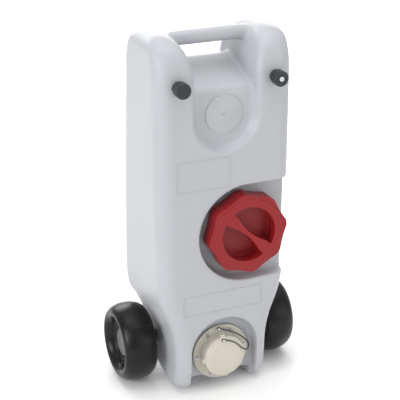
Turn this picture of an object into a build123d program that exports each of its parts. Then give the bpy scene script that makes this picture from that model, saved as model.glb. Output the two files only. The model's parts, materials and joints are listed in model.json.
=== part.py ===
"""Wheeled portable waste tote: blow-moulded tank, screw filler cap, drain outlet, vents and two wheels.

Millimetres. +Z is up, -Y is the side with the filler cap, X = 0 is the plane between the wheels.
The origin is on the floor, under the centre of the whole object.
"""

import os
from math import cos, pi, radians, sin, tan

from build123d import *

# ---- driving dimensions -------------------------------------------------------------------------
FRONT_Y = -101.0          # the tank's flat front face
WALL = 4.0                # blow-moulded wall
HALF_WIDTH = 144.5        # tank, above the wheels
SHOULDER_TOP = 764.0
SHOULDER_START = 672.0    # where the shoulders begin to dome
COLUMN_START = 640.0      # where the tank splits into two columns
DEPTH_LOW = 229.5         # front to back at BACK_KINK_Z
BACK_KINK_Z = 150.0
BACK_SLOPE = 0.0713       # the back leans in towards the top
CORNER_R = 33.0
FOOT_X, FOOT_DEPTH, FOOT_R = 83.0, 62.0, 9.0
BELLY_Z = 27.0            # underside between the feet

SADDLE_HALF = 64.0        # inner walls of the two columns
HANDLE_HALF, HANDLE_Z, HANDLE_DEPTH, HANDLE_HEIGHT, HANDLE_THICK = 84.0, 746.0, 95.0, 30.0, 32.0

DISH_Z, DISH_RIM_R, DISH_FLOOR_R, DISH_SINK = 605.0, 72.5, 58.0, 19.0

FILLER_X, FILLER_Z = 46.0, 354.5
FILLER_RECESS_R, FILLER_SINK = 104.0, 37.0
NECK_R, NECK_BORE_R, NECK_LIP = 72.0, 64.0, -1.7
CAP_R, CAP_BORE_R, CAP_FACE = 86.0, 74.4, -10.0
WELL_R, WELL_FLOOR = 58.3, 20.0

DRAIN_Z = 80.0
ARCH_HALF, ARCH_TOP, ARCH_SINK = 74.5, 170.0, 31.0
FLANGE_R, SPOUT_R, DRAIN_BORE_R = 62.0, 43.0, 34.0
DRAIN_CAP_R = 45.0
SCREW_COUNT, SCREW_PCR, SCREW_TURN = 6, 54.0, 5.0

VENT_X, VENT_Z, VENT_HOLE_R, VENT_TIP = 102.0, 676.0, 8.0, -27.5

AXLE_DEPTH, WHEEL_R, WHEEL_X, WHEEL_HALF, AXLE_R = 137.5, 84.0, 160.0, 40.0, 8.0
RUNNING = 0.06            # radial clearance of a turning fit
GAP = 0.3                 # between pieces that move apart

SADDLE_BEND_Z, SADDLE_BACK_Z = 656.0, 652.0
RIDGE_DEPTH, SADDLE_RIDGE_Z = 138.0, 699.0
BACK_CORNER_R = 30.0
TUNNEL_R = AXLE_R + 0.1
BOSS_DEEP, SCREW_R = 16.0, 1.9
BLANK_R, PIP_R = 37.5, 5.0
LABEL_FIELDS = [(-50.0, 493.0, 115.0, 64.0), (-6.5, 212.0, 175.0, 44.0)]   # x, z, width, height

TETHER_R = 1.3
# Depth behind the front face, as (x, depth, z), from the flange eye round to the cap eye.
TETHER_ROUTE = [
    (-4.5, 18.5, 137.5),
    (8.0, 17.0, 133.2),
    (22.0, 15.5, 127.0),
    (35.0, 13.0, 119.0),
    (46.5, 10.5, 109.5),
    (55.5, 7.5, 100.0),
    (56.5, 3.5, 90.5),
    (48.5, -0.5, 85.5),
    (39.0, -3.5, 91.5),
    (29.5, -4.5, 102.5),
    (18.0, -4.5, 112.5),
    (6.5, -4.5, 118.8),
    (-2.3, -4.0, 121.0),
]

os.makedirs("parts", exist_ok=True)


# ---- helpers ------------------------------------------------------------------------------------
def front(depth):
    """A plane facing out of the front, this far behind the front face; x is X and y is Z."""
    return Plane.XZ.offset(-(FRONT_Y + depth))


def y_at(depth):
    return FRONT_Y + depth


def back_depth(z):
    return DEPTH_LOW - BACK_SLOPE * max(z - BACK_KINK_Z, 0.0)


def save(piece, label):
    piece.part.label = label
    export_step(piece.part, f"parts/{label}.step")


def disc(at, radius, near, far, hole=0.0):
    """A washer-like solid on an axis through at = (x, z), between two depths."""
    with BuildPart() as made:
        with BuildSketch(front(far)):
            with Locations(at):
                Circle(radius)
                if hole:
                    Circle(hole, mode=Mode.SUBTRACT)
        extrude(amount=far - near)
    return made.part


def bar_x(radius, start, end, depth, z, hole=0.0):
    """A round bar or tube along X."""
    with BuildPart() as made:
        with BuildSketch(Plane.YZ.offset(start)):
            with Locations((y_at(depth), z)):
                Circle(radius)
                if hole:
                    Circle(hole, mode=Mode.SUBTRACT)
        extrude(amount=end - start)
    return made.part


# ---- tank: outer form and cavity ----------------------------------------------------------------
# Height, half-width at the front, half-width at the back, set-back of the front.
LOWER_STATIONS = [
    (3.0, 88.0, 88.0, 42.0),
    (8.0, 96.0, 95.0, 28.0),
    (17.0, 101.0, 100.0, 15.0),
    (30.0, 102.7, 102.7, 6.0),
    (60.0, 102.7, 102.7, 0.0),
    (100.0, 103.8, 103.8, 0.0),
    (130.0, 107.2, 107.5, 0.0),
    (160.0, 113.5, 122.0, 0.0),
    (186.0, 122.3, 139.5, 0.0),
    (215.0, 133.5, 142.5, 0.0),
    (255.0, 140.5, 143.5, 0.0),
]
# The shoulder domes over like a superellipse: steep outside, gentle towards the handle.
RIDGE_X = 106.0
OUTER_ROUND_Z, INNER_ROUND_Z = 738.0, 684.0
ALONG_POWER, OUTER_POWER, INNER_POWER = 2.6, 2.0, 1.8
DOME_STEPS = (0.0, 0.12, 0.24, 0.36, 0.48, 0.6, 0.7, 0.79, 0.87, 0.93, 0.97, 1.0)


def outline(z, corners, rounds):
    """One horizontal section: a four-sided outline with its corners rounded."""
    with BuildSketch(Plane.XY.offset(z)) as made:
        with BuildLine():
            Polyline(*corners, close=True)
        make_face()
        for corner, r in zip(corners, rounds):
            fillet(made.vertices().sort_by_distance(corner)[0], r)
    return made.sketch


def tank_form(inset):
    """The tank up to its columns, without its recesses, shrunk all round by inset."""
    stations = LOWER_STATIONS + [
        (430.0, HALF_WIDTH, HALF_WIDTH, 0.0),
        (COLUMN_START, HALF_WIDTH, HALF_WIDTH, 0.0),
    ]
    sections = []
    for z, x_front, x_back, set_back in stations:
        near, far = y_at(set_back + inset), y_at(back_depth(z) - inset)
        x_front, x_back = x_front - inset, x_back - inset
        corners = [(-x_front, near), (x_front, near), (x_back, far), (-x_back, far)]
        r_front, r_back = min(CORNER_R, 25 + z / 8) - inset, BACK_CORNER_R - inset
        height = z + inset if z == stations[0][0] else z
        sections.append(outline(height, corners, [r_front, r_front, r_back, r_back]))
    with BuildPart() as made:
        loft(sections, ruled=True)
    return made.part


def column_form(inset):
    """One of the two columns above the tank, on the +X side, with its domed shoulder."""
    x_out, x_in = HALF_WIDTH - inset, SADDLE_HALF + inset
    rise = SHOULDER_TOP - inset
    start = COLUMN_START if inset == 0 else COLUMN_START - 30
    half_deep = back_depth(SHOULDER_START) / 2 - inset
    middle = y_at(half_deep + inset)
    near, far = y_at(inset), y_at(back_depth(start) - inset)
    corners = [(x_in, near), (x_out, near), (x_out, far), (x_in, far)]
    sections = [outline(start, corners, [12, CORNER_R - inset, BACK_CORNER_R - inset, 12])]
    for step in DOME_STEPS:
        z = SHOULDER_START + step * (rise - SHOULDER_START)
        deep = half_deep * breadth(z, SHOULDER_START, rise, ALONG_POWER)
        right = RIDGE_X + (x_out - RIDGE_X) * breadth(z, OUTER_ROUND_Z, rise, OUTER_POWER)
        left = RIDGE_X - (RIDGE_X - x_in) * breadth(z, INNER_ROUND_Z, rise, INNER_POWER)
        corners = [
            (left, middle - deep), (right, middle - deep), (right, middle + deep), (left, middle + deep),
        ]
        limit = 0.46 * min(2 * deep, right - left)
        r_out, r_in = min(CORNER_R - inset, limit), min(16, limit)
        sections.append(outline(z, corners, [r_in, r_out, min(BACK_CORNER_R - inset, limit), r_in]))
    with BuildPart() as made:
        loft(sections, ruled=True)
    return made.part


def breadth(z, start, top, power):
    """Breadth of a superellipse at height z, as a share of its breadth at the start."""
    return (1 - (max(z - start, 0.0) / (top + 1.0 - start)) ** power) ** (1 / power)


def saddle_form(inset):
    """The bridge between the columns: up from the dish floor, over a ridge under the handle."""
    bend = (y_at(DISH_SINK + inset), SADDLE_BEND_Z - inset * 0.6)
    ridge = (y_at(RIDGE_DEPTH), SADDLE_RIDGE_Z - inset)
    brow = (y_at(back_depth(SADDLE_BACK_Z) - inset), SADDLE_BACK_Z - inset * 0.6)
    with BuildPart() as made:
        with BuildSketch(Plane.YZ.offset(-(SADDLE_HALF + 16))) as side:
            with BuildLine():
                Polyline(
                    (y_at(DISH_SINK + inset), 560), bend, ridge, brow,
                    (y_at(back_depth(560) - inset), 560), close=True,
                )
            make_face()
            fillet(side.vertices().sort_by_distance(bend)[0], 22)
            fillet(side.vertices().sort_by_distance(ridge)[0], 18)
            fillet(side.vertices().sort_by_distance(brow)[0], 14)
        extrude(amount=2 * (SADDLE_HALF + 16))
    return made.part


def saddle_scoop(grow):
    """What the saddle's front slope leaves open above the dish's floor."""
    with BuildPart() as made:
        with BuildSketch(front(60)):
            with Locations((0, COLUMN_START - 40)):
                Rectangle(2 * (DISH_FLOOR_R + grow), 45, align=(Align.CENTER, Align.MIN))
        extrude(amount=80)
        add(saddle_form(grow), mode=Mode.SUBTRACT)
    return made.part


def filler_recess(grow):
    """Round pocket round the filler neck, open to the right-hand side."""
    radius = FILLER_RECESS_R + grow
    with BuildPart() as made:
        with BuildSketch(front(FILLER_SINK + grow)):
            with Locations((FILLER_X, FILLER_Z)):
                Circle(radius)
                Rectangle(HALF_WIDTH, 2 * radius, align=(Align.MIN, Align.CENTER))
        extrude(amount=FILLER_SINK + grow + 20)
        floor_edges = made.faces().sort_by(Axis.Y)[-1].edges()
        fillet(floor_edges.filter_by(lambda e: e.center().X < FILLER_X + 90), 9)
    return made.part


def dish(grow):
    """Sloping-sided dish at the top of the front, running up into the saddle."""
    with BuildPart() as made:
        outlines = []
        spread = (DISH_RIM_R - DISH_FLOOR_R) / DISH_SINK
        for depth in (-20.0, DISH_SINK + grow):
            radius = DISH_RIM_R + grow - spread * depth
            with BuildSketch(front(depth)) as edge:
                with Locations((0, DISH_Z)):
                    Circle(radius)
                    Rectangle(2 * radius, COLUMN_START + 6 - DISH_Z, align=(Align.CENTER, Align.MIN))
            outlines.append(edge.sketch)
        loft(outlines, ruled=True)
    return made.part


def drain_arch(grow):
    """Arched pocket round the drain outlet, open at the bottom."""
    half = ARCH_HALF + grow
    with BuildPart() as made:
        with BuildSketch(front(ARCH_SINK + grow)):
            with Locations((0, ARCH_TOP - ARCH_HALF)):
                Circle(half)
                Rectangle(2 * half, 160, align=(Align.CENTER, Align.MAX))
        extrude(amount=ARCH_SINK + grow + 20)
        fillet(made.faces().sort_by(Axis.Y)[-1].edges().filter_by(lambda e: e.center().Z > 0), 12)
    return made.part


def underside(grow):
    """What is cut away below: a raised middle between the feet, and a rise towards the back."""
    heel, hollow = (y_at(90) - grow, 6 + grow), (y_at(180), 46 + grow)
    with BuildPart() as made:
        with BuildSketch(Plane.YZ.offset(-150)) as side:
            with BuildLine():
                Polyline(
                    (y_at(78) - grow, -10), heel, hollow, (y_at(245), 100 + grow), (y_at(245), -10), close=True
                )
            make_face()
            fillet(side.vertices().sort_by_distance(heel)[0], 12)
            fillet(side.vertices().sort_by_distance(hollow)[0], 45)
        extrude(amount=300)
        with BuildSketch(front(140)):
            with Locations((0, -10)):
                Rectangle(2 * (ARCH_HALF - 6 + grow), BELLY_Z + 10 + grow, align=(Align.CENTER, Align.MIN))
        extrude(amount=160)
    return made.part


with BuildPart() as tank_cavity:
    add(tank_form(WALL))
    add(column_form(WALL))
    mirror(column_form(WALL), about=Plane.YZ)
    add(saddle_form(WALL))
    for hollow_part in (saddle_scoop, filler_recess, dish, drain_arch, underside):
        add(hollow_part(WALL), mode=Mode.SUBTRACT)
    # Solid stock left round the axle tunnel, the drain port and the two vents.
    add(bar_x(TUNNEL_R + WALL, -150, 150, AXLE_DEPTH, WHEEL_R), mode=Mode.SUBTRACT)
    add(disc((0, DRAIN_Z), FLANGE_R + 3, 0, ARCH_SINK + BOSS_DEEP), mode=Mode.SUBTRACT)

with BuildPart() as tank_body:
    add(tank_form(0))
    add(column_form(0))
    mirror(column_form(0), about=Plane.YZ)
    add(saddle_form(0))
    for hollow_part in (saddle_scoop, filler_recess, dish, drain_arch, underside):
        add(hollow_part(0), mode=Mode.SUBTRACT)
    add(tank_cavity.part, mode=Mode.SUBTRACT)
    # Carrying handle between the columns.
    with BuildSketch(Plane.YZ.offset(-HANDLE_HALF)):
        with Locations((y_at(HANDLE_DEPTH), HANDLE_Z)):
            RectangleRounded(HANDLE_THICK, HANDLE_HEIGHT, 13)
    extrude(amount=2 * HANDLE_HALF)
    # Filler neck with three thread ridges; its bore opens into the tank.
    add(disc((FILLER_X, FILLER_Z), NECK_R, NECK_LIP, FILLER_SINK + 1))
    for ridge_depth in (4.0, 10.0, 16.0):
        add(disc((FILLER_X, FILLER_Z), NECK_R + 1.6, ridge_depth, ridge_depth + 2.2))
    add(disc((FILLER_X, FILLER_Z), NECK_BORE_R, NECK_LIP - 1, FILLER_SINK + WALL + 8), mode=Mode.SUBTRACT)
    # Drain port and the flange's screw holes.
    add(disc((0, DRAIN_Z), DRAIN_BORE_R, ARCH_SINK - 1, ARCH_SINK + BOSS_DEEP + 1), mode=Mode.SUBTRACT)
    with BuildSketch(front(ARCH_SINK + BOSS_DEEP - 3)):
        with Locations((0, DRAIN_Z)):
            with PolarLocations(SCREW_PCR, SCREW_COUNT, start_angle=SCREW_TURN):
                Circle(SCREW_R)
    extrude(amount=BOSS_DEEP - 2, mode=Mode.SUBTRACT)
    # Vent holes and the axle tunnel.
    for side in (-1, 1):
        add(disc((side * VENT_X, VENT_Z), VENT_HOLE_R, -5, 12), mode=Mode.SUBTRACT)
    add(bar_x(TUNNEL_R, -150, 150, AXLE_DEPTH, WHEEL_R), mode=Mode.SUBTRACT)
    # Moulded feet.
    for side in (-1, 1):
        with BuildSketch(Plane.XY):
            with Locations((side * FOOT_X, y_at(FOOT_DEPTH))):
                Circle(FOOT_R)
        extrude(amount=9)
    # Blank round boss in the dish, with a centre pip.
    add(disc((0, DISH_Z + 2), BLANK_R, DISH_SINK - 1.5, DISH_SINK + 1))
    add(disc((0, DISH_Z + 2), PIP_R, DISH_SINK - 3.0, DISH_SINK))
    # Raised outlines of two blank label fields.
    for x, z, wide, high in LABEL_FIELDS:
        with BuildSketch(front(1)):
            with Locations((x, z)):
                RectangleRounded(wide, high, 3)
                RectangleRounded(wide - 2.4, high - 2.4, 2, mode=Mode.SUBTRACT)
        extrude(amount=1.7)

save(tank_body, "tank_body")

# ---- filler: screw cap and gasket ---------------------------------------------------------------
LOBES, LOBE_TURN, LOBE_ROUND, SCOOP_R, SCOOP_DEEP = 8, 8.0, 16.0, 200.0, 6.0
SKIRT_END, PLATE, RAISED_R = 27.0, 5.0, 74.5
BAR_TURN, BAR_HALF, BAR_FLARE, BAR_WAIST_R, WELL_ROUND = -43.0, 4.5, 12.0, 130.0, 3.5
filler = (FILLER_X, FILLER_Z)

with BuildPart() as filler_cap:
    # Outside: eight rounded lobes with shallow scoops between them.
    with BuildSketch(front(SKIRT_END)):
        with Locations(filler):
            with BuildSketch(mode=Mode.PRIVATE) as lobed:
                Circle(CAP_R)
                scoop_centres = CAP_R + SCOOP_R - SCOOP_DEEP
                with PolarLocations(scoop_centres, LOBES, start_angle=LOBE_TURN + 180 / LOBES):
                    Circle(SCOOP_R, mode=Mode.SUBTRACT)
                fillet(lobed.vertices(), LOBE_ROUND)
            add(lobed.sketch)
    extrude(amount=SKIRT_END - CAP_FACE - 2)
    add(disc(filler, CAP_BORE_R, CAP_FACE + PLATE, SKIRT_END + 1), mode=Mode.SUBTRACT)
    add(disc(filler, RAISED_R, CAP_FACE, CAP_FACE + 3))
    add(disc(filler, WELL_R + 2.7, CAP_FACE + 2, WELL_FLOOR + 3))
    # Two wells, parted by a grip bar that is waisted in the middle.
    with BuildSketch(front(WELL_FLOOR)):
        with Locations(filler):
            with BuildSketch(mode=Mode.PRIVATE) as wells:
                Circle(WELL_R)
                with BuildSketch(mode=Mode.PRIVATE) as grip_bar:
                    Rectangle(2 * WELL_R + 8, 2 * BAR_FLARE)
                    with Locations((0, BAR_HALF + BAR_WAIST_R), (0, -BAR_HALF - BAR_WAIST_R)):
                        Circle(BAR_WAIST_R, mode=Mode.SUBTRACT)
                add(grip_bar.sketch, rotation=BAR_TURN, mode=Mode.SUBTRACT)
                fillet(wells.vertices(), WELL_ROUND)
            add(wells.sketch)
    extrude(amount=WELL_FLOOR - CAP_FACE + 1, mode=Mode.SUBTRACT)
save(filler_cap, "filler_cap")

with BuildPart() as filler_gasket:
    near = CAP_FACE + PLATE + GAP
    add(disc(filler, CAP_BORE_R - GAP, near, NECK_LIP - GAP, WELL_R + 2.7 + GAP))
save(filler_gasket, "filler_gasket")

# ---- drain outlet -------------------------------------------------------------------------------
FLANGE_THICK, DRAIN_GASKET = 5.0, 2.0
FLANGE_FACE = ARCH_SINK - DRAIN_GASKET - FLANGE_THICK
COLLAR_FACE, SPOUT_LIP = 13.0, 7.0
DRAIN_CAP_PLATE, DRAIN_CAP_SKIRT = 3.0, 12.0
HOOK_TURNS, HOOK_OUT, HOOK_HALF = (95.0, 185.0, 275.0), 49.5, 4.5
drain = (0, DRAIN_Z)

with BuildPart() as drain_gasket:
    add(disc(drain, FLANGE_R - 2, ARCH_SINK - DRAIN_GASKET, ARCH_SINK, DRAIN_BORE_R + 4))
    with BuildSketch(front(ARCH_SINK + 1)):
        with Locations(drain):
            with PolarLocations(SCREW_PCR, SCREW_COUNT, start_angle=SCREW_TURN):
                Circle(SCREW_R + 0.4)
    extrude(amount=DRAIN_GASKET + 2, mode=Mode.SUBTRACT)
save(drain_gasket, "drain_gasket")

with BuildPart() as drain_outlet:
    add(disc(drain, FLANGE_R, FLANGE_FACE, ARCH_SINK - DRAIN_GASKET))
    fillet(drain_outlet.faces().sort_by(Axis.Y)[0].edges(), 1.5)
    add(disc(drain, SPOUT_R + 4, FLANGE_FACE - 4, FLANGE_FACE + 1))
    add(disc(drain, SPOUT_R, COLLAR_FACE, FLANGE_FACE + 1))
    add(disc(drain, DRAIN_BORE_R + 5, SPOUT_LIP, COLLAR_FACE + 1))
    add(disc(drain, DRAIN_BORE_R, SPOUT_LIP - 1, ARCH_SINK), mode=Mode.SUBTRACT)
    # Bayonet ramps that the cap's hooks turn in behind.
    for turn in HOOK_TURNS:
        with BuildSketch(front(FLANGE_FACE - 4)):
            with Locations(drain):
                with Locations(Rotation(0, 0, turn - 28)):
                    with Locations((SPOUT_R + 1, 0)):
                        Rectangle(6, 12)
        extrude(amount=3)
    with BuildSketch(front(ARCH_SINK)):
        with Locations(drain):
            with PolarLocations(SCREW_PCR, SCREW_COUNT, start_angle=SCREW_TURN):
                Circle(SCREW_R + 0.4)
    extrude(amount=12, mode=Mode.SUBTRACT)
save(drain_outlet, "drain_outlet")

with BuildPart() as drain_screws:
    for i in range(SCREW_COUNT):
        turn = radians(SCREW_TURN + 360 * i / SCREW_COUNT)
        at = (SCREW_PCR * cos(turn), DRAIN_Z + SCREW_PCR * sin(turn))
        add(disc(at, SCREW_R - 0.05, FLANGE_FACE - 1, ARCH_SINK + BOSS_DEEP - 5))
        add(disc(at, 3.8, FLANGE_FACE - 2.4, FLANGE_FACE))
        with BuildSketch(front(FLANGE_FACE - 3)):
            with Locations(at):
                with Locations(Rotation(0, 0, 20 + 37 * i)):
                    Rectangle(4.2, 0.9)
                    Rectangle(0.9, 4.2)
        extrude(amount=-1.8, mode=Mode.SUBTRACT)
save(drain_screws, "drain_screws")

with BuildPart() as drain_cap:
    add(disc(drain, DRAIN_CAP_R, 0, DRAIN_CAP_SKIRT, DRAIN_CAP_R - 3.5))
    add(disc(drain, DRAIN_CAP_R, 0, DRAIN_CAP_PLATE))
    fillet(drain_cap.faces().sort_by(Axis.Y)[0].edges(), 2.5)
    add(disc(drain, 37.0, -1.6, 1))
    fillet(drain_cap.faces().sort_by(Axis.Y)[0].edges(), 1.0)
    for turn in HOOK_TURNS:
        with BuildSketch(front(DRAIN_CAP_SKIRT)):
            with Locations(drain):
                with Locations(Rotation(0, 0, turn)):
                    with Locations(((DRAIN_CAP_R + HOOK_OUT) / 2 - 0.5, 0)):
                        Rectangle(HOOK_OUT - DRAIN_CAP_R + 1, 2 * HOOK_HALF)
        extrude(amount=DRAIN_CAP_SKIRT - 3.5)
save(drain_cap, "drain_cap")

with BuildPart() as drain_cap_seal:
    add(disc(drain, DRAIN_BORE_R + 5.5, DRAIN_CAP_PLATE, SPOUT_LIP - GAP, DRAIN_BORE_R - 1))
save(drain_cap_seal, "drain_cap_seal")

# ---- tether between outlet and cap --------------------------------------------------------------
EYE_R, EYE_THICK, RIVET_R, RIVET_HEAD_R = 3.6, 2.4, 1.2, 2.3
FLANGE_EYE, FLANGE_EYE_NEAR = (-7.5, 137.5), FLANGE_FACE - 6.5
CAP_EYE, CAP_EYE_NEAR = (-6.2, 121.2), -5.4


def eye(at, near, slit):
    """A ring round its rivet, opened by a flat on the side where the cord comes out."""
    with BuildPart() as made:
        add(disc(at, EYE_R, near, near + EYE_THICK, RIVET_R + 0.1))
        with BuildSketch(front(near + EYE_THICK + 1)):
            with Locations((at[0] + slit, at[1])):
                Rectangle(6, 20, align=(Align.MIN, Align.CENTER))
        extrude(amount=EYE_THICK + 2, mode=Mode.SUBTRACT)
    return made.part


with BuildPart() as flange_eye:
    add(eye(FLANGE_EYE, FLANGE_EYE_NEAR, 3.2))
save(flange_eye, "flange_eye")

with BuildPart() as cap_eye:
    add(eye(CAP_EYE, CAP_EYE_NEAR, 3.2))
save(cap_eye, "cap_eye")

with BuildPart() as flange_rivet:
    add(disc(FLANGE_EYE, RIVET_R, FLANGE_EYE_NEAR - 0.5, FLANGE_FACE))
    add(disc(FLANGE_EYE, RIVET_HEAD_R, FLANGE_EYE_NEAR - 1.6, FLANGE_EYE_NEAR))
    fillet(flange_rivet.faces().sort_by(Axis.Y)[0].edges(), 1.0)
save(flange_rivet, "flange_rivet")

with BuildPart() as cap_rivet:
    add(disc(CAP_EYE, RIVET_R, CAP_EYE_NEAR - 0.5, 0))
    add(disc(CAP_EYE, RIVET_HEAD_R, CAP_EYE_NEAR - 1.6, CAP_EYE_NEAR))
    fillet(cap_rivet.faces().sort_by(Axis.Y)[0].edges(), 1.0)
save(cap_rivet, "cap_rivet")

route = [Vector(x, y_at(depth), z) for x, depth, z in TETHER_ROUTE]
bend_radii = []
for before, here, after in zip(route, route[1:], route[2:]):
    shorter = min((here - before).length, (after - here).length)
    half_turn = radians((here - before).get_angle(after - here)) / 2
    bend_radii.append(0.45 * shorter / tan(half_turn))
print("tether bend radii", [round(r, 1) for r in bend_radii])

with BuildPart() as tether_cord:
    with BuildLine() as tether_path:
        FilletPolyline(*route, radius=bend_radii)
    with BuildSketch(Plane(origin=route[0], z_dir=route[1] - route[0])):
        Circle(TETHER_R)
    sweep()
save(tether_cord, "tether_cord")
tether_length = sum(edge.length for edge in tether_path.edges())
print("tether length", round(tether_length, 1))
print("volume share", tether_cord.part.volume / (tether_length * pi * TETHER_R**2))

# ---- vents on the shoulders ---------------------------------------------------------------------
VENT_SEAL, HEX_ACROSS, HEX_FACE = 2.0, 26.0, -9.0
STEM_R, STEM_BORE_R, STEM_TIP, STEM_END = 7.9, 4.0, -18.0, 17.0
CAP_SIDE_R, RIB_COUNT = 15.5, 20


def vent_body(at, tip):
    """Hexagon with a hollow stem through the tank wall."""
    with BuildPart() as made:
        with BuildSketch(front(-VENT_SEAL)):
            with Locations(at):
                RegularPolygon(HEX_ACROSS / 2, 6, major_radius=False)
        extrude(amount=-HEX_FACE - VENT_SEAL)
        add(disc(at, STEM_R, tip, STEM_END))
        add(disc(at, STEM_BORE_R, tip - 1, STEM_END + 1), mode=Mode.SUBTRACT)
    return made.part


def ribbed(at, radius, near, far, ribs):
    """A round knob with shallow grip flutes down its side and a rounded end."""
    with BuildPart() as made:
        add(disc(at, radius, near, far))
        fillet(made.faces().sort_by(Axis.Y)[0].edges(), 2.0)
        with BuildSketch(front(far)):
            with Locations(at):
                with PolarLocations(radius + 0.6, ribs):
                    Circle(1.2)
        extrude(amount=far - near - 4.0, mode=Mode.SUBTRACT)
    return made.part


left_vent, right_vent = (-VENT_X, VENT_Z), (VENT_X, VENT_Z)
for side, at in (("left", left_vent), ("right", right_vent)):
    with BuildPart() as vent_fitting:
        add(vent_body(at, STEM_TIP))
    save(vent_fitting, f"vent_{side}_body")
    with BuildPart() as vent_seal:
        add(disc(at, 13.0, -VENT_SEAL, 0, STEM_R + 0.1))
    save(vent_seal, f"vent_{side}_seal")
    with BuildPart() as vent_nut:
        with BuildSketch(front(WALL + 6.5)):
            with Locations(at):
                RegularPolygon(11, 6, major_radius=False)
                Circle(STEM_R + 0.1, mode=Mode.SUBTRACT)
        extrude(amount=6)
    save(vent_nut, f"vent_{side}_lock_nut")

with BuildPart() as vent_cap:
    add(ribbed(left_vent, CAP_SIDE_R, VENT_TIP, HEX_FACE - GAP, RIB_COUNT))
    add(disc(left_vent, STEM_R + 0.4, VENT_TIP + 4.5, HEX_FACE), mode=Mode.SUBTRACT)
save(vent_cap, "vent_left_cap")

with BuildPart() as vent_cap_liner:
    add(disc(left_vent, STEM_R, VENT_TIP + 4.5 + GAP, STEM_TIP - GAP))
save(vent_cap_liner, "vent_left_cap_liner")

PIN_R, PIN_HEAD_R, SOCKET_R, SOCKET_FLOOR = 2.6, 4.8, 7.0, -22.0
with BuildPart() as breather_nut:
    add(ribbed(right_vent, CAP_SIDE_R, VENT_TIP + 1.5, HEX_FACE, 8))
    add(disc(right_vent, STEM_R + 0.1, STEM_TIP - 0.1, HEX_FACE + 1), mode=Mode.SUBTRACT)
    add(disc(right_vent, SOCKET_R, VENT_TIP, SOCKET_FLOOR), mode=Mode.SUBTRACT)
    add(disc(right_vent, PIN_R + RUNNING, SOCKET_FLOOR - 1, STEM_TIP), mode=Mode.SUBTRACT)
save(breather_nut, "vent_right_nut")

PIN_TRAVEL = 2.5
with BuildPart() as breather_pin:
    add(disc(right_vent, PIN_HEAD_R, VENT_TIP, SOCKET_FLOOR - PIN_TRAVEL - 0.5))
    fillet(breather_pin.faces().sort_by(Axis.Y)[0].edges(), 0.8)
    add(disc(right_vent, PIN_R, SOCKET_FLOOR - PIN_TRAVEL - 1, 4.0))
    add(disc(right_vent, 3.7, 4.0 - 1.5, 4.0))
save(breather_pin, "vent_right_pin")

# ---- wheels and axle ----------------------------------------------------------------------------
TREAD_RISE, TREAD_START = 31.5, 16.0          # tread ellipse: height, and where the side faces cut it
HUB_POCKET_R, HUB_FLOOR, HUB_CAP_THICK = 31.0, 14.0, 4.5
CLIP_POCKET_R, CLIP_FLOOR = 20.0, 8.0
WASHER_THICK, CLIP_THICK, COLLAR_R = 1.0, 1.5, 14.0
WASHER_AT = CLIP_FLOOR + GAP
CLIP_AT = WASHER_AT + WASHER_THICK + 0.1
axle_y, axle_z = y_at(AXLE_DEPTH), WHEEL_R
SIDE_AT_AXLE = 104.0                          # just clear of the tank's side


def wheel(side):
    """Moulded wheel: round tread, dished faces, a hub bored for the axle and a pocket for its cap."""
    mid_wheel = Plane(origin=(side * WHEEL_X, axle_y, axle_z), x_dir=(side, 0, 0), z_dir=(0, -side, 0))
    tread_half = WHEEL_HALF / cos(radians(TREAD_START))
    bore_r = AXLE_R + RUNNING
    with BuildPart() as made:
        with BuildSketch(mid_wheel):
            with BuildLine():
                tread = EllipticalCenterArc(
                    (0, WHEEL_R - TREAD_RISE), tread_half, TREAD_RISE,
                    start_angle=TREAD_START, arc_size=180 - 2 * TREAD_START,
                )
                Polyline(
                    tread @ 1, (-37.5, 58.0), (-20.0, 55.0), (-20.0, 26.0), (-WHEEL_HALF, 20.0),
                    (-WHEEL_HALF, bore_r), (CLIP_FLOOR, bore_r), (CLIP_FLOOR, CLIP_POCKET_R),
                    (HUB_FLOOR, CLIP_POCKET_R), (HUB_FLOOR, HUB_POCKET_R), (23.5, HUB_POCKET_R), (23.5, 35.5),
                    (20.0, 36.5), (20.0, 41.5), (25.5, 43.0), (25.5, 46.0), (22.5, 47.5), (22.5, 53.5),
                    (37.5, 58.0), tread @ 0,
                )
            make_face()
        revolve(axis=Axis((0, axle_y, axle_z), (1, 0, 0)))
    return made.part


def across(side, radius, start, end, hole=0.0):
    """A round piece on the axle between two distances outward from the mid-plane."""
    near, far = sorted((side * start, side * end))
    return bar_x(radius, near, far, AXLE_DEPTH, WHEEL_R, hole)


for side, name in ((-1, "left"), (1, "right")):
    with BuildPart() as road_wheel:
        add(wheel(side))
    save(road_wheel, f"wheel_{name}")

    with BuildPart() as hub_cap:
        cap_out = WHEEL_X + HUB_FLOOR + HUB_CAP_THICK
        add(across(side, HUB_POCKET_R - 0.05, WHEEL_X + HUB_FLOOR, cap_out))
        fillet(hub_cap.faces().sort_by(Axis.X)[-1 if side > 0 else 0].edges(), 1.5)
    save(hub_cap, f"hub_cap_{name}")

    with BuildPart() as spacer:
        add(across(side, COLLAR_R, SIDE_AT_AXLE, WHEEL_X - WHEEL_HALF - GAP, AXLE_R + RUNNING))
    save(spacer, f"axle_spacer_{name}")

    with BuildPart() as washer:
        washer_in = WHEEL_X + WASHER_AT
        add(across(side, COLLAR_R + 2, washer_in, washer_in + WASHER_THICK, AXLE_R + RUNNING))
    save(washer, f"axle_washer_{name}")

    with BuildPart() as clip:
        clip_in = WHEEL_X + CLIP_AT
        add(across(side, COLLAR_R, clip_in, clip_in + CLIP_THICK, AXLE_R + 0.02))
        with BuildSketch(Plane.YZ.offset(side * (clip_in - 1))):
            with Locations((axle_y, axle_z)):
                with PolarLocations(AXLE_R + 1.5, 6):
                    Rectangle(4, 1.2)
        extrude(amount=side * (CLIP_THICK + 2), mode=Mode.SUBTRACT)
    save(clip, f"axle_clip_{name}")

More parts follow.
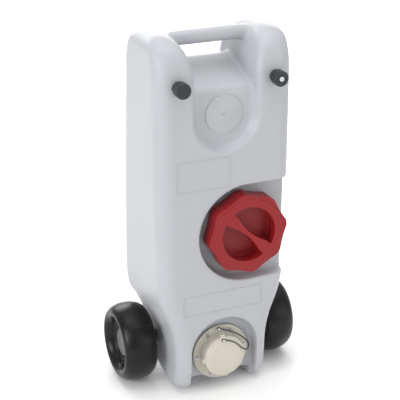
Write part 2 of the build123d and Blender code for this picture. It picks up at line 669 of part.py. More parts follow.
with BuildPart() as axle:
    axle_half = WHEEL_X + CLIP_AT + CLIP_THICK + 1.5
    add(bar_x(AXLE_R, -axle_half, axle_half, AXLE_DEPTH, WHEEL_R))
    chamfer(axle.edges().filter_by(GeomType.CIRCLE), 1.0)
save(axle, "axle")
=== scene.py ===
"""Looks of a wheeled waste tote: soft blow-moulded tank, red screw cap, ivory drain outlet, black wheels."""

import json
from math import cos, pi, radians, sin

import bpy
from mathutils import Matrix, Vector


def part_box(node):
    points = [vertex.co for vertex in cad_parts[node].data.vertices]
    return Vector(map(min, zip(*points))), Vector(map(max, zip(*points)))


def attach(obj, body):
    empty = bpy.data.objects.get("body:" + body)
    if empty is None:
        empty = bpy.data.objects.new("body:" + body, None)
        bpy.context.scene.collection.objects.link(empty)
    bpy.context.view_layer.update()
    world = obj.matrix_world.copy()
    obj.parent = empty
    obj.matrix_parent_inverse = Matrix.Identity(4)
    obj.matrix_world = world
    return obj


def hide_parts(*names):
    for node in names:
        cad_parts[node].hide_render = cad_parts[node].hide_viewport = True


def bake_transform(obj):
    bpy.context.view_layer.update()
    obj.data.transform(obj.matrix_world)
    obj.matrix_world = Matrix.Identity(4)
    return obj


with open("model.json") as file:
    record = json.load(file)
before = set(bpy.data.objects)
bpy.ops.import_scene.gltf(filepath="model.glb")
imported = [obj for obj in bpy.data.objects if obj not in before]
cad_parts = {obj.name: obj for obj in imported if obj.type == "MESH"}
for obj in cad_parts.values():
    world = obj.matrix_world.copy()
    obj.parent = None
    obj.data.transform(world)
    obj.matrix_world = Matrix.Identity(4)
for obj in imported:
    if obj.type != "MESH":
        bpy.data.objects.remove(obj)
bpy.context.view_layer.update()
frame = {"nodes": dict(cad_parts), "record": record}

bl_info = {
    "name": "Wheeled waste tote",
    "version": (1, 0, 0),
    "blender": (4, 5, 0),
    "location": "View3D > Sidebar > Tote",
    "description": "Builds the tote's pieces and materials round its packed frame",
    "category": "Object",
}

NODES = frame["nodes"]
BODY_OF = {n: body for body, names in frame["record"]["behaviour"]["bodies"].items() for n in names}
SLOT_OF = {part["node"]: part["material_slot"] for part in frame["record"]["subparts"]}


def middle(node):
    """Centre of a CAD node's box."""
    low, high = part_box(node)
    return (low + high) / 2


FILLER, DRAIN = middle("filler_cap"), middle("drain_gasket")
VENT_LEFT, VENT_RIGHT = middle("vent_left_seal"), middle("vent_right_seal")
FRONT = VENT_LEFT.y + 0.001            # the tank's flat front face, behind the vent's 2 mm seal
AXLE = middle("wheel_left")
AXLE_OUT, WHEEL_R = abs(AXLE.x), AXLE.z


# ---- sizes and colours a user would change ------------------------------------------------------
class ToteSizes(bpy.types.PropertyGroup):
    tank_voxel: bpy.props.FloatProperty(
        name="Tank voxel", description="Edge of a face on the tank's skin", default=0.0027, unit="LENGTH")
    tank_softness: bpy.props.IntProperty(
        name="Tank softness", description="Rounds of smoothing on every edge of the tank", default=6)
    shoulder_softness: bpy.props.IntProperty(
        name="Shoulder softness", description="More rounds on the shoulders and the lower flare", default=22)
    root_softness: bpy.props.IntProperty(
        name="Root softness", description="More rounds where the handle meets the columns", default=36)
    label_line: bpy.props.FloatProperty(
        name="Label line", description="Width of the raised line round a blank label field",
        default=0.0014, unit="LENGTH")
    tyre_ridges: bpy.props.IntProperty(
        name="Tyre ridges", description="Fine moulded rings across the tread", default=38)
    tether: bpy.props.FloatProperty(
        name="Tether", description="Diameter of the drain cap's tether", default=0.0026, unit="LENGTH")


def colour(name, description, default):
    return bpy.props.FloatVectorProperty(
        name=name, description=description, subtype="COLOR", size=3, default=default, min=0, max=1)


class ToteColours(bpy.types.PropertyGroup):
    tank: colour("Tank", "Pale grey polyethylene", (0.42, 0.43, 0.455))
    cap: colour("Cap", "Red filler cap", (0.26, 0.011, 0.014))
    outlet: colour("Outlet", "Ivory drain outlet and cap", (0.56, 0.53, 0.455))
    tyre: colour("Tyre", "Black moulded wheels", (0.004, 0.004, 0.0043))
    hub: colour("Hub", "Dark grey hub caps", (0.10, 0.10, 0.105))
    fitting: colour("Fitting", "Slate vent fittings", (0.016, 0.019, 0.024))
    rubber: colour("Rubber", "Seals, eyes and tether", (0.016, 0.016, 0.017))
    steel: colour("Steel", "Axle, washers, clips and screws", (0.52, 0.52, 0.54))
    rivet: colour("Rivet", "White tether rivets", (0.80, 0.80, 0.78))
    pin: colour("Pin", "Pale breather pin", (0.55, 0.57, 0.58))
    backdrop: colour("Backdrop", "Floor under the tote", (0.95, 0.95, 0.95))


# ---- shared shader groups -----------------------------------------------------------------------
def new_group(name, inputs, outputs):
    """An empty shader group with its sockets; inputs are (name, type, default)."""
    group = bpy.data.node_groups.new(name, "ShaderNodeTree")
    for label, kind, default in inputs:
        socket = group.interface.new_socket(label, in_out="INPUT", socket_type="NodeSocket" + kind)
        socket.default_value = default
    for label, kind in outputs:
        group.interface.new_socket(label, in_out="OUTPUT", socket_type="NodeSocket" + kind)
    return group, group.nodes.new("NodeGroupInput"), group.nodes.new("NodeGroupOutput")


def add_node(tree, kind, values=None, **settings):
    """A node with its settings and its unlinked socket values."""
    made = tree.nodes.new("ShaderNode" + kind)
    for key, value in settings.items():
        setattr(made, key, value)
    for key, value in (values or {}).items():
        made.inputs[key].default_value = value
    return made


def link(tree, source, out, target, into):
    tree.links.new(source.outputs[out], target.inputs[into])


def math_node(tree, operation, first, second):
    """A maths node; each side is a number or a (node, output) pair."""
    made = add_node(tree, "Math", operation=operation)
    for i, side in enumerate((first, second)):
        if isinstance(side, tuple):
            link(tree, side[0], side[1], made, i)
        else:
            made.inputs[i].default_value = side
    return made


def moulded_group():
    """Moulded plastic: a fine grain in the height, cloudy colour, and a roughness that wanders."""
    group, given, result = new_group(
        "Moulded plastic",
        [("Colour", "Color", (0.5, 0.5, 0.5, 1)), ("Cloud", "Float", 0.03), ("Grain Size", "Float", 900.0),
         ("Roughness", "Float", 0.4), ("Roughness Spread", "Float", 0.08), ("Ripple", "Float", 0.3)],
        [("Colour", "Color"), ("Roughness", "Float"), ("Height", "Float")],
    )
    place = add_node(group, "TexCoord")
    cloud = add_node(group, "TexNoise", {"Scale": 9.0, "Detail": 3.0, "Roughness": 0.55})
    grain = add_node(group, "TexNoise", {"Detail": 2.0, "Roughness": 0.6})
    ripple = add_node(group, "TexNoise", {"Scale": 38.0, "Detail": 1.0})
    for texture in (cloud, grain, ripple):
        link(group, place, "Object", texture, "Vector")
    link(group, given, "Grain Size", grain, "Scale")

    # Colour wanders by the Cloud share either way.
    swing = math_node(group, "SUBTRACT", (cloud, "Fac"), 0.5)
    share = math_node(group, "MULTIPLY", (swing, 0), (given, "Cloud"))
    bright = math_node(group, "MULTIPLY_ADD", (share, 0), 2.0)
    bright.inputs[2].default_value = 1.0
    tint = add_node(group, "VectorMath", operation="SCALE")
    link(group, given, "Colour", tint, 0)
    link(group, bright, 0, tint, "Scale")
    link(group, tint, 0, result, "Colour")

    spread = math_node(group, "MULTIPLY", (swing, 0), (given, "Roughness Spread"))
    rough = math_node(group, "ADD", (spread, 0), (given, "Roughness"))
    link(group, rough, 0, result, "Roughness")

    waves = math_node(group, "MULTIPLY", (ripple, "Fac"), (given, "Ripple"))
    height = math_node(group, "ADD", (waves, 0), (grain, "Fac"))
    link(group, height, 0, result, "Height")
    return group


def wear_group():
    """Handling wear: edges rub paler and duller, and short fine scratches cross the surface."""
    group, given, result = new_group(
        "Handling wear",
        [("Colour", "Color", (0.5, 0.5, 0.5, 1)), ("Worn Colour", "Color", (0.8, 0.8, 0.8, 1)),
         ("Roughness", "Float", 0.4), ("Edge", "Float", 0.3), ("Scratch", "Float", 0.1)],
        [("Colour", "Color"), ("Roughness", "Float"), ("Mask", "Float")],
    )
    place = add_node(group, "TexCoord")
    shape = add_node(group, "NewGeometry")
    edge = add_node(group, "MapRange", {"From Min": 0.52, "From Max": 0.62})
    link(group, shape, "Pointiness", edge, "Value")
    patches = add_node(group, "TexNoise", {"Scale": 60.0, "Detail": 4.0})
    link(group, place, "Object", patches, "Vector")
    broken = math_node(group, "MULTIPLY", (edge, "Result"), (patches, "Fac"))
    rubbed = math_node(group, "MULTIPLY", (broken, 0), (given, "Edge"))

    stretch = add_node(group, "Mapping", {"Rotation": (0.4, 0.9, 0.3), "Scale": (14.0, 260.0, 40.0)})
    link(group, place, "Object", stretch, "Vector")
    marks = add_node(group, "TexNoise", {"Scale": 3.0, "Detail": 3.0})
    link(group, stretch, "Vector", marks, "Vector")
    lines = add_node(group, "MapRange", {"From Min": 0.66, "From Max": 0.74})
    link(group, marks, "Fac", lines, "Value")
    scratched = math_node(group, "MULTIPLY", (lines, "Result"), (given, "Scratch"))

    mask = math_node(group, "ADD", (rubbed, 0), (scratched, 0))
    mask.use_clamp = True
    # A colour Mix node's own sockets: inputs 6 and 7 are its two colours, output 2 is the mixed one.
    blend = add_node(group, "Mix", data_type="RGBA")
    link(group, mask, 0, blend, "Factor")
    group.links.new(given.outputs["Colour"], blend.inputs[6])
    group.links.new(given.outputs["Worn Colour"], blend.inputs[7])
    group.links.new(blend.outputs[2], result.inputs["Colour"])
    rise = math_node(group, "MULTIPLY", (mask, 0), 0.25)
    rough = math_node(group, "ADD", (rise, 0), (given, "Roughness"))
    link(group, rough, 0, result, "Roughness")
    link(group, mask, 0, result, "Mask")
    return group


GROUPS = {}


def shared(name, make):
    """The named shader group, built the first time it is asked for."""
    if name not in GROUPS:
        GROUPS[name] = make()
    return GROUPS[name]


def finish_material(
    name, base, roughness, grain_size=900.0, grain_depth=0.00002, cloud=0.03, spread=0.08, ripple=0.3,
    edge=0.25, scratch=0.05, worn=None, metallic=0.0, coat=0.0, soft_light=0.0, specular=0.5,
):
    """A material from the shared groups: moulded or worked surface first, then handling wear."""
    material = bpy.data.materials.new(name)
    material.use_nodes = True
    tree = material.node_tree
    shader = tree.nodes["Principled BSDF"]
    shader.inputs["Metallic"].default_value = metallic
    shader.inputs["Specular IOR Level"].default_value = specular
    shader.inputs["Coat Weight"].default_value = coat
    shader.inputs["Coat Roughness"].default_value = 0.25
    if soft_light:
        shader.inputs["Subsurface Weight"].default_value = soft_light
        shader.inputs["Subsurface Radius"].default_value = (0.006, 0.006, 0.006)
        shader.inputs["Subsurface Scale"].default_value = 1.0
    surface = add_node(tree, "Group", node_tree=shared("moulded", moulded_group))
    for key, value in (
        ("Colour", (*base, 1)), ("Cloud", cloud), ("Grain Size", grain_size), ("Roughness", roughness),
        ("Roughness Spread", spread), ("Ripple", ripple),
    ):
        surface.inputs[key].default_value = value
    wear = add_node(tree, "Group", node_tree=shared("wear", wear_group))
    pale = worn or tuple(min(1.0, 0.25 + 0.75 * channel) for channel in base)
    wear.inputs["Worn Colour"].default_value = (*pale, 1)
    wear.inputs["Edge"].default_value = edge
    wear.inputs["Scratch"].default_value = scratch
    link(tree, surface, "Colour", wear, "Colour")
    link(tree, surface, "Roughness", wear, "Roughness")
    link(tree, wear, "Colour", shader, "Base Color")
    link(tree, wear, "Roughness", shader, "Roughness")
    bump = add_node(tree, "Bump", {"Strength": 1.0, "Distance": grain_depth})
    link(tree, surface, "Height", bump, "Height")
    link(tree, bump, "Normal", shader, "Normal")
    return material


def make_finishes(colours):
    """One material for each slot of the record."""
    red_worn = (0.42, 0.07, 0.065)
    return {
        "tank": finish_material(
            "tank_polyethylene", colours.tank, 0.42, 700.0, 0.00006, cloud=0.02, ripple=1.2,
            edge=0.0, scratch=0.06, soft_light=0.12),
        "cap": finish_material(
            "cap_red", colours.cap, 0.36, 1100.0, 0.00004, cloud=0.05, edge=0.55, scratch=0.12,
            worn=red_worn, specular=0.3),
        "outlet": finish_material(
            "outlet_ivory", colours.outlet, 0.38, 1300.0, 0.00003, edge=0.3, scratch=0.05, soft_light=0.08),
        "tyre": finish_material(
            "tyre_black", colours.tyre, 0.27, 1500.0, 0.00003, cloud=0.1, edge=0.12, scratch=0.05,
            specular=0.28),
        "hub": finish_material("hub_grey", colours.hub, 0.55, 1800.0, 0.00008, edge=0.2, scratch=0.05),
        "fitting": finish_material("fitting_slate", colours.fitting, 0.4, 2200.0, 0.00003, edge=0.3),
        "seal": finish_material("seal_rubber", colours.rubber, 0.7, 1500.0, 0.00003, edge=0.1),
        "eyelet": finish_material("eyelet_rubber", colours.rubber, 0.5, 2500.0, 0.00002, edge=0.1),
        "cord": finish_material("tether_rubber", colours.rubber, 0.38, 3000.0, 0.00002, edge=0.0),
        "rivet": finish_material("rivet_white", colours.rivet, 0.2, 2500.0, 0.00001, edge=0.1, coat=0.4),
        "pin": finish_material("pin_pale", colours.pin, 0.35, 2500.0, 0.00002, edge=0.2),
        "steel": finish_material(
            "steel_zinc", colours.steel, 0.3, 3500.0, 0.00001, cloud=0.08, edge=0.3, metallic=1.0),
    }


FINISHES = {}


# ---- modelling helpers --------------------------------------------------------------------------
def pick(piece):
    """Selects this object alone and makes it active."""
    bpy.ops.object.select_all(action="DESELECT")
    piece.select_set(True)
    bpy.context.view_layer.objects.active = piece


def named(name):
    """The object that the last operator added, under its own name."""
    piece = bpy.context.object
    piece.name = name
    piece.data.name = name
    return piece


def settle(piece):
    """Puts the object's place into its mesh."""
    pick(piece)
    bpy.ops.object.transform_apply(location=True, rotation=True, scale=True)


def modify(piece, kind, **settings):
    """Adds a modifier and applies it."""
    pick(piece)
    modifier = piece.modifiers.new(kind.title(), kind)
    for key, value in settings.items():
        setattr(modifier, key, value)
    bpy.ops.object.modifier_apply(modifier=modifier.name)


def merged_copy(node, name):
    """A copy of a CAD node's mesh with its loose triangles joined."""
    piece = bpy.data.objects.new(name, NODES[node].data.copy())
    piece.data.name = name
    bpy.context.scene.collection.objects.link(piece)
    pick(piece)
    bpy.ops.object.mode_set(mode="EDIT")
    bpy.ops.mesh.select_all(action="SELECT")
    bpy.ops.mesh.remove_doubles(threshold=0.00001)
    bpy.ops.object.mode_set(mode="OBJECT")
    return piece


def dress(piece, body, slot, replaced=()):
    """Gives a finished piece the material of its slot, attaches it to its body and hides the CAD nodes that
    it stands for.
    """
    piece.data.materials.clear()
    piece.data.materials.append(FINISHES[slot])
    if body:
        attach(piece, body)
    if replaced:
        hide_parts(*replaced)


def round_edges(piece, width, segments=2, angle=35.0):
    modify(piece, "BEVEL", width=width, segments=segments, limit_method="ANGLE", angle_limit=radians(angle))


def smooth_shading(piece, angle=40.0):
    pick(piece)
    bpy.ops.object.shade_smooth_by_angle(angle=radians(angle))


def soft_moulding(node, name, voxel, rounds, keep=1.0):
    """A CAD node as it comes out of a mould: every edge rounded by a few voxels."""
    piece = merged_copy(node, name)
    modify(piece, "REMESH", mode="VOXEL", voxel_size=voxel)
    modify(piece, "SMOOTH", factor=0.5, iterations=rounds)
    if keep < 1.0:
        modify(piece, "DECIMATE", ratio=keep)
    pick(piece)
    bpy.ops.object.shade_smooth()
    return piece


def plug(centre, radius, near, far):
    """A short cylinder along Y that closes a bore of the tank before its skin is made."""
    bpy.ops.object.select_all(action="DESELECT")
    bpy.ops.mesh.primitive_cylinder_add(
        vertices=48, radius=radius, depth=far - near, rotation=(pi / 2, 0, 0),
        location=(centre.x, FRONT + (near + far) / 2, centre.z))
    made = named("plug")
    settle(made)
    return made


# ---- operators ----------------------------------------------------------------------------------
class StageOperator(bpy.types.Operator):
    """Floor, soft studio light and the camera"""
    bl_idname = "tote.stage"
    bl_label = "Stage"

    CAMERA_PLACE = (-0.92103, -2.07122, 1.32817)
    CAMERA_TILT, CAMERA_TURN = radians(67.63), radians(-23.66)
    LENS, SENSOR = 107.05, 36.0
    FLOOR_SIZE, SKY_STRENGTH = 14.0, 0.68
    # Name, place, width and height, watts, and the point that the lamp is aimed at.
    LAMPS = [
        ("key", (-2.6, -1.1, 1.3), (1.2, 1.6), 38.0, (0, 0, 0.35)),
        ("fill", (1.6, -2.2, 1.0), (0.7, 1.6), 10.0, (0, 0, 0.3)),
        ("top", (0.1, -0.1, 2.8), (2.2, 2.2), 34.0, (0, 0, 0)),
        ("rear", (0.4, 2.6, 1.6), (3.0, 1.6), 60.0, (0, 1.5, 0)),
    ]

    def area(self, name, location, size, power, towards):
        bpy.ops.object.light_add(type="AREA", location=location)
        lamp = bpy.context.object
        lamp.name = name
        lamp.data.shape = "RECTANGLE"
        lamp.data.size, lamp.data.size_y = size
        lamp.data.energy = power
        aim = Vector(towards) - Vector(location)
        lamp.rotation_euler = aim.to_track_quat("-Z", "Y").to_euler()

    def execute(self, context):
        bpy.ops.object.select_all(action="DESELECT")
        bpy.ops.object.camera_add(
            location=self.CAMERA_PLACE, rotation=(self.CAMERA_TILT, 0, self.CAMERA_TURN))
        camera = context.object
        camera.data.lens = self.LENS
        camera.data.sensor_width = self.SENSOR
        context.scene.camera = camera

        bpy.ops.object.select_all(action="DESELECT")
        bpy.ops.mesh.primitive_plane_add(size=self.FLOOR_SIZE)
        floor = named("floor")
        paper = bpy.data.materials.new("floor_paper")
        paper.use_nodes = True
        shader = paper.node_tree.nodes["Principled BSDF"]
        shader.inputs["Base Color"].default_value = (*context.scene.tote_colours.backdrop, 1)
        shader.inputs["Roughness"].default_value = 0.95
        shader.inputs["Specular IOR Level"].default_value = 0.1
        floor.data.materials.append(paper)

        for lamp in self.LAMPS:
            self.area(*lamp)
        world = bpy.data.worlds.new("studio")
        context.scene.world = world
        world.use_nodes = True
        sky = world.node_tree.nodes["Background"]
        sky.inputs["Color"].default_value = (1, 1, 1, 1)
        sky.inputs["Strength"].default_value = self.SKY_STRENGTH
        context.scene.view_settings.view_transform = "Standard"
        return {"FINISHED"}


class TetherOperator(bpy.types.Operator):
    """The drain cap's tether, a limp rubber cord from the outlet's rivet to the cap's"""
    bl_idname = "tote.tether"
    bl_label = "Tether"

    # X, distance behind the front face, and height, in millimetres, from the outlet's eye to the cap's.
    ROUTE = [
        (-4.5, 18.5, 137.5), (8.0, 17.0, 133.2), (22.0, 15.5, 127.0), (35.0, 13.0, 119.0),
        (46.5, 10.5, 109.5), (55.5, 7.5, 100.0), (56.5, 3.5, 90.5), (48.5, -0.5, 85.5),
        (39.0, -3.5, 91.5), (29.5, -4.5, 102.5), (18.0, -4.5, 112.5), (6.5, -4.5, 118.8),
        (-2.3, -4.0, 121.0),
    ]

    def execute(self, context):
        thick = context.scene.tote_sizes.tether
        points = [Vector((x / 1000, FRONT + depth / 1000, z / 1000)) for x, depth, z in self.ROUTE]
        bpy.ops.object.select_all(action="DESELECT")
        bpy.ops.curve.primitive_nurbs_path_add()
        cord = named("tether")
        curve = cord.data
        curve.splines.clear()
        curve.dimensions = "3D"
        line = curve.splines.new("NURBS")
        line.points.add(len(points) - 1)
        for point, place in zip(line.points, points):
            point.co = (*place, 1)
        line.order_u = 3
        line.use_endpoint_u = True
        curve.resolution_u = 10
        settle(cord)
        centre = bpy.data.meshes.new_from_object(cord)
        curve.bevel_depth = thick / 2
        curve.bevel_resolution = 5
        curve.use_fill_caps = True
        pick(cord)
        bpy.ops.object.convert(target="MESH")
        cord = bpy.context.object
        dress(cord, None, "cord", ("tether_cord",))
        smooth_shading(cord)
        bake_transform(cord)
        return {"FINISHED"}


class FinishesOperator(bpy.types.Operator):
    """Materials for every slot, put on each CAD node that stays"""
    bl_idname = "tote.finishes"
    bl_label = "Finishes"

    def execute(self, context):
        FINISHES.update(make_finishes(context.scene.tote_colours))
        for name, node in NODES.items():
            node.data.materials.clear()
            node.data.materials.append(FINISHES[SLOT_OF[name]])
        return {"FINISHED"}


class TankOperator(bpy.types.Operator):
    """Blow-moulded tank: one soft skin, with its bores closed and its shoulders and handle roots softened"""
    bl_idname = "tote.tank"
    bl_label = "Tank"

    # Bore, its plug's radius, and how far behind the front face the plug starts and ends.
    PLUGS = [
        (FILLER, 0.066, 0.0372, 0.0408),
        (DRAIN, 0.036, 0.0425, 0.0468),
        (VENT_LEFT, 0.0095, 0.0002, 0.0038),
        (VENT_RIGHT, 0.0095, 0.0002, 0.0038),
    ]
    # Heights where extra softness starts, and the distance over which it grows to its full share.
    # The lower flare is softened only further than FLARE_OUT from the tank's middle.
    SHOULDER_BOTTOM, SHOULDER_FADE = 0.60, 0.04
    FLARE_TOP, FLARE_FADE, FLARE_OUT = 0.26, 0.05, 0.09
    ROOT_BOTTOM, ROOT_FADE = 0.695, 0.02
    # The columns' inner walls: their distance from the middle, and how far round them the roots soften.
    WALL_OUT, WALL_REACH = 0.067, 0.020
    TRIANGLE_LIMIT = 190000

    def near_shoulders(self, point):
        """Share of the shoulders' softness: on them, and low on the flanks where the tank flares."""
        flare = (self.FLARE_TOP - point.z) / self.FLARE_FADE if abs(point.x) > self.FLARE_OUT else 0
        return min(1.0, max((point.z - self.SHOULDER_BOTTOM) / self.SHOULDER_FADE, flare))

    def near_roots(self, point):
        """Share of the roots' softness: where the handle runs into the columns' inner walls."""
        rise = min(1.0, (point.z - self.ROOT_BOTTOM) / self.ROOT_FADE)
        return rise * max(0.0, 1 - abs(abs(point.x) - self.WALL_OUT) / self.WALL_REACH)

    def soften(self, tank, group_name, rounds, share):
        """Smooths more where share(point) is above 0."""
        group = tank.vertex_groups.new(name=group_name)
        for vertex in tank.data.vertices:
            weight = share(vertex.co)
            if weight > 0:
                group.add([vertex.index], weight, "REPLACE")
        modify(tank, "SMOOTH", factor=0.5, iterations=rounds, vertex_group=group_name)

    def execute(self, context):
        sizes = context.scene.tote_sizes
        tank = merged_copy("tank_body", "tank")
        plugs = [plug(*bore) for bore in self.PLUGS]
        pick(tank)
        for closed in plugs:
            closed.select_set(True)
        bpy.ops.object.join()
        modify(tank, "REMESH", mode="VOXEL", voxel_size=sizes.tank_voxel)
        modify(tank, "SMOOTH", factor=0.5, iterations=sizes.tank_softness)
        self.soften(tank, "soft", sizes.shoulder_softness, self.near_shoulders)
        self.soften(tank, "roots", sizes.root_softness, self.near_roots)
        count = len(tank.data.polygons) * 2
        if count > self.TRIANGLE_LIMIT:
            modify(tank, "DECIMATE", ratio=self.TRIANGLE_LIMIT / count)
        pick(tank)
        bpy.ops.object.shade_smooth()
        dress(tank, "root", "tank", ("tank_body",))
        return {"FINISHED"}


class TankMarksOperator(bpy.types.Operator):
    """Crisp marks on the tank: the dish's round boss, two blank label fields and the foot pads"""
    bl_idname = "tote.tank_marks"
    bl_label = "Tank marks"

    DISH_DEPTH = 0.0187
    BOSS_HEIGHT, BOSS_RADIUS, BOSS_THICK, BOSS_SINK = 0.607, 0.0384, 0.006, 0.0001
    # The pip: the flat ring round it, its rise, its rim's width, and how deep its middle is sunk.
    PIP_RING, PIP_RISE, PIP_RIM, PIP_SINK = 0.0328, 0.0011, 0.0016, 0.0013
    PIP_OUTER_SLOPE, PIP_INNER_SLOPE = 0.0001, 0.0003
    # A label line: how far its back sits in the wall, how far it comes forward of that, its corner.
    LINE_BACK, LINE_RISE, LINE_CORNER = 0.0006, 0.0017, 0.003
    # Name, centre (X, Z), and width and height of each blank label field.
    FIELDS = [
        ("label_field_upper", (-0.050, 0.493), (0.115, 0.064)),
        ("label_field_lower", (-0.0065, 0.212), (0.175, 0.044)),
    ]
    FOOT_RADIUS, FOOT_HEIGHT, FOOT_BACK, FOOT_OUT = 0.009, 0.008, 0.062, 0.083

    def boss(self):
        """Round blank in the dish: a low disc with a ringed pip."""
        bpy.ops.object.select_all(action="DESELECT")
        bpy.ops.mesh.primitive_cylinder_add(
            vertices=128, radius=self.BOSS_RADIUS, depth=self.BOSS_THICK, rotation=(pi / 2, 0, 0),
            location=(0, FRONT + self.DISH_DEPTH + self.BOSS_SINK, self.BOSS_HEIGHT))
        disc = named("dish_boss")
        settle(disc)
        bpy.ops.object.mode_set(mode="EDIT")
        bpy.ops.mesh.select_mode(type="FACE")
        bpy.ops.mesh.select_all(action="DESELECT")
        bpy.ops.object.mode_set(mode="OBJECT")
        face = min(disc.data.polygons, key=lambda f: f.center.y)
        face.select = True
        bpy.ops.object.mode_set(mode="EDIT")
        bpy.ops.mesh.inset(thickness=self.PIP_RING)
        bpy.ops.mesh.inset(thickness=self.PIP_OUTER_SLOPE)
        bpy.ops.transform.translate(value=(0, -self.PIP_RISE, 0))
        bpy.ops.mesh.inset(thickness=self.PIP_RIM)
        bpy.ops.mesh.inset(thickness=self.PIP_INNER_SLOPE)
        bpy.ops.transform.translate(value=(0, self.PIP_SINK, 0))
        bpy.ops.object.mode_set(mode="OBJECT")
        round_edges(disc, 0.0003, 2)
        smooth_shading(disc)
        dress(disc, "root", "tank")

    def field(self, name, centre, size, line):
        """A blank label field: one thin raised line round a rectangle."""
        x, z = centre
        wide, high = size
        bpy.ops.object.select_all(action="DESELECT")
        bpy.ops.mesh.primitive_plane_add(
            size=1.0, rotation=(pi / 2, 0, 0), location=(x, FRONT + self.LINE_BACK, z))
        frame_line = named(name)
        frame_line.scale = (wide, high, 1)
        settle(frame_line)
        bpy.ops.object.mode_set(mode="EDIT")
        bpy.ops.mesh.select_mode(type="VERT")
        bpy.ops.mesh.select_all(action="SELECT")
        bpy.ops.mesh.bevel(offset=self.LINE_CORNER, segments=4, affect="VERTICES")
        bpy.ops.mesh.select_mode(type="FACE")
        bpy.ops.mesh.select_all(action="SELECT")
        bpy.ops.mesh.inset(thickness=line)
        bpy.ops.mesh.delete(type="FACE")
        bpy.ops.mesh.select_all(action="SELECT")
        bpy.ops.mesh.extrude_region_move(TRANSFORM_OT_translate={"value": (0, -self.LINE_RISE, 0)})
        bpy.ops.mesh.select_all(action="SELECT")
        bpy.ops.mesh.normals_make_consistent(inside=False)
        bpy.ops.object.mode_set(mode="OBJECT")
        round_edges(frame_line, 0.0003, 2, 50)
        smooth_shading(frame_line, 50)
        dress(frame_line, "root", "tank")

    def foot(self, name, x):
        """Round rubbing pad under the tank."""
        bpy.ops.object.select_all(action="DESELECT")
        bpy.ops.mesh.primitive_cylinder_add(
            vertices=48, radius=self.FOOT_RADIUS, depth=self.FOOT_HEIGHT,
            location=(x, FRONT + self.FOOT_BACK, self.FOOT_HEIGHT / 2))
        pad = named(name)
        settle(pad)
        round_edges(pad, 0.0012, 3)
        smooth_shading(pad)
        dress(pad, "root", "tank")

    def execute(self, context):
        line = context.scene.tote_sizes.label_line
        self.boss()
        for name, centre, size in self.FIELDS:
            self.field(name, centre, size, line)
        self.foot("foot_pad_left", -self.FOOT_OUT)
        self.foot("foot_pad_right", self.FOOT_OUT)
        return {"FINISHED"}


class CapsOperator(bpy.types.Operator):
    """Filler cap, drain cap and outlet, and the vent fittings, each with its moulded edges"""
    bl_idname = "tote.caps"
    bl_label = "Caps and outlet"

    # Node, voxel, rounds of smoothing, share of faces kept.
    PIECES = [
        ("filler_cap", 0.0009, 2, 0.6),
        ("drain_cap", 0.0007, 3, 0.9),
        ("drain_outlet", 0.0008, 2, 0.8),
        ("vent_left_cap", 0.0004, 2, 0.8),
        ("vent_right_nut", 0.0004, 2, 0.8),
        ("vent_left_body", 0.0004, 2, 0.8),
        ("vent_right_body", 0.0004, 2, 0.8),
    ]

    def execute(self, context):
        for node, voxel, rounds, keep in self.PIECES:
            piece = soft_moulding(node, node + "_skin", voxel, rounds, keep)
            dress(piece, BODY_OF[node], SLOT_OF[node], (node,))
        return {"FINISHED"}


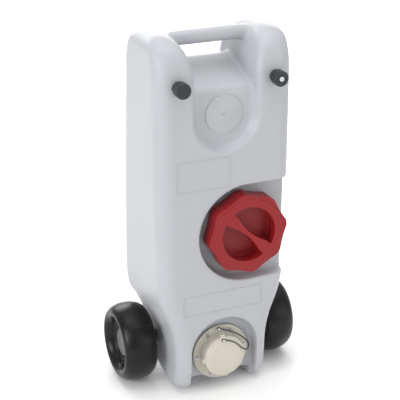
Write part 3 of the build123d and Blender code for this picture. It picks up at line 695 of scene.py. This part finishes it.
class WheelsOperator(bpy.types.Operator):
    """Both road wheels, turned from one profile, with their hub caps"""
    bl_idname = "tote.wheels"
    bl_label = "Wheels"

    # The tread's crown above its sides, half the wheel's width, and how far the sides roll under.
    TREAD_RISE, SIDE, ROLL_UNDER = 0.018, 0.036, radians(-50.0)
    # The tread's fine rings: depth, outline points to a ring, and how soon they grow from the sides.
    RING_DEPTH, RING_STEPS, RING_FADE = 0.00035, 6, 1.4
    # Distance out from the wheel's middle and radius, from the outer edge of the tread inwards.
    OUTER_FACE = [
        (0.0195, 0.0515), (0.0170, 0.0500), (0.0170, 0.0458), (0.0188, 0.0450), (0.0188, 0.0420),
        (0.0165, 0.0412), (0.0165, 0.0365), (0.0185, 0.0357), (0.0185, 0.0345), (0.0140, 0.0340),
        (0.0140, 0.0310),
    ]
    INNER_FACE = [(-0.0140, 0.0260), (-0.0180, 0.0262), (-0.0180, 0.0500)]
    # The hub cap: how far out its back and its face's edge are, that edge's radius, the dome's rise.
    HUB_BACK, HUB_EDGE, HUB_RADIUS, HUB_RISE = 0.0142, 0.0195, 0.0292, 0.0010
    HUB_WALL = [(HUB_BACK, 0.0), (HUB_BACK, 0.0301), (0.0188, 0.0300), (HUB_EDGE, HUB_RADIUS)]
    DOME_RADII = (0.026, 0.019, 0.010, 0.0)

    def tread(self, ridges):
        """The tread's round outline with fine rings, rolled over at both sides into the faces."""
        steps = ridges * self.RING_STEPS
        outline = []
        for i in range(steps + 1):
            turn = pi - self.ROLL_UNDER - (pi - 2 * self.ROLL_UNDER) * i / steps
            wave = max(0.0, cos(2 * pi * ridges * i / steps))
            fade = min(1.0, max(0.0, sin(turn) * self.RING_FADE))
            reach = self.TREAD_RISE + self.RING_DEPTH * wave * fade - self.RING_DEPTH
            outline.append((self.SIDE * cos(turn), WHEEL_R - self.TREAD_RISE + reach * sin(turn)))
        return outline

    def dome(self):
        """The hub cap's face, highest at the axle."""
        outline = []
        for r in self.DOME_RADII:
            outline.append((self.HUB_EDGE + self.HUB_RISE * (1 - (r / self.HUB_RADIUS) ** 2), r))
        return outline

    def turned(self, name, outline, side, closed):
        """A solid of revolution about the axle; outline points are (distance out, radius)."""
        mesh = bpy.data.meshes.new(name)
        points = [(side * (AXLE_OUT + out), AXLE.y, AXLE.z + r) for out, r in outline]
        rims = [(i, i + 1) for i in range(len(points) - 1)]
        if closed:
            rims.append((len(points) - 1, 0))
        mesh.from_pydata(points, rims, [])
        piece = bpy.data.objects.new(name, mesh)
        bpy.context.scene.collection.objects.link(piece)
        pick(piece)
        bpy.ops.object.mode_set(mode="EDIT")
        bpy.ops.mesh.select_all(action="SELECT")
        bpy.ops.mesh.spin(
            steps=144, angle=2 * pi, center=(side * AXLE_OUT, AXLE.y, AXLE.z), axis=(1, 0, 0))
        bpy.ops.mesh.select_all(action="SELECT")
        bpy.ops.mesh.remove_doubles(threshold=0.00001)
        bpy.ops.mesh.normals_make_consistent(inside=False)
        bpy.ops.object.mode_set(mode="OBJECT")
        return piece

    def execute(self, context):
        ridges = context.scene.tote_sizes.tyre_ridges
        for side, name in ((-1, "left"), (1, "right")):
            tyre = self.turned(
                f"tyre_{name}", self.tread(ridges) + self.OUTER_FACE + self.INNER_FACE, side, True)
            round_edges(tyre, 0.0006, 2, 30)
            smooth_shading(tyre, 35)
            dress(tyre, f"wheel_{name}", "tyre", (f"wheel_{name}",))

            hub = self.turned(f"hub_{name}", self.HUB_WALL + self.dome(), side, False)
            round_edges(hub, 0.0004, 2, 30)
            smooth_shading(hub, 35)
            dress(hub, f"wheel_{name}", "hub", (f"hub_cap_{name}",))
        return {"FINISHED"}


STEPS = (
    StageOperator, FinishesOperator, TetherOperator, TankOperator, TankMarksOperator, CapsOperator,
    WheelsOperator,
)


class TotePanel(bpy.types.Panel):
    """Lists the tote's sizes, colours and building steps"""
    bl_idname = "VIEW3D_PT_tote"
    bl_label = "Waste tote"
    bl_space_type = "VIEW_3D"
    bl_region_type = "UI"
    bl_category = "Tote"

    def draw(self, context):
        for group in (context.scene.tote_sizes, context.scene.tote_colours):
            for name in group.bl_rna.properties.keys():
                if name not in ("rna_type", "name"):
                    self.layout.prop(group, name)
        for step in STEPS:
            self.layout.operator(step.bl_idname)


CLASSES = (ToteSizes, ToteColours, *STEPS, TotePanel)


def register():
    for made in CLASSES:
        bpy.utils.register_class(made)
    bpy.types.Scene.tote_sizes = bpy.props.PointerProperty(type=ToteSizes)
    bpy.types.Scene.tote_colours = bpy.props.PointerProperty(type=ToteColours)


def unregister():
    del bpy.types.Scene.tote_sizes
    del bpy.types.Scene.tote_colours
    for made in reversed(CLASSES):
        bpy.utils.unregister_class(made)


def main():
    register()
    bpy.ops.tote.stage()
    bpy.ops.tote.finishes()
    bpy.ops.tote.tether()
    bpy.ops.tote.tank()
    bpy.ops.tote.tank_marks()
    bpy.ops.tote.caps()
    bpy.ops.tote.wheels()


if __name__ == "__main__":
    main()
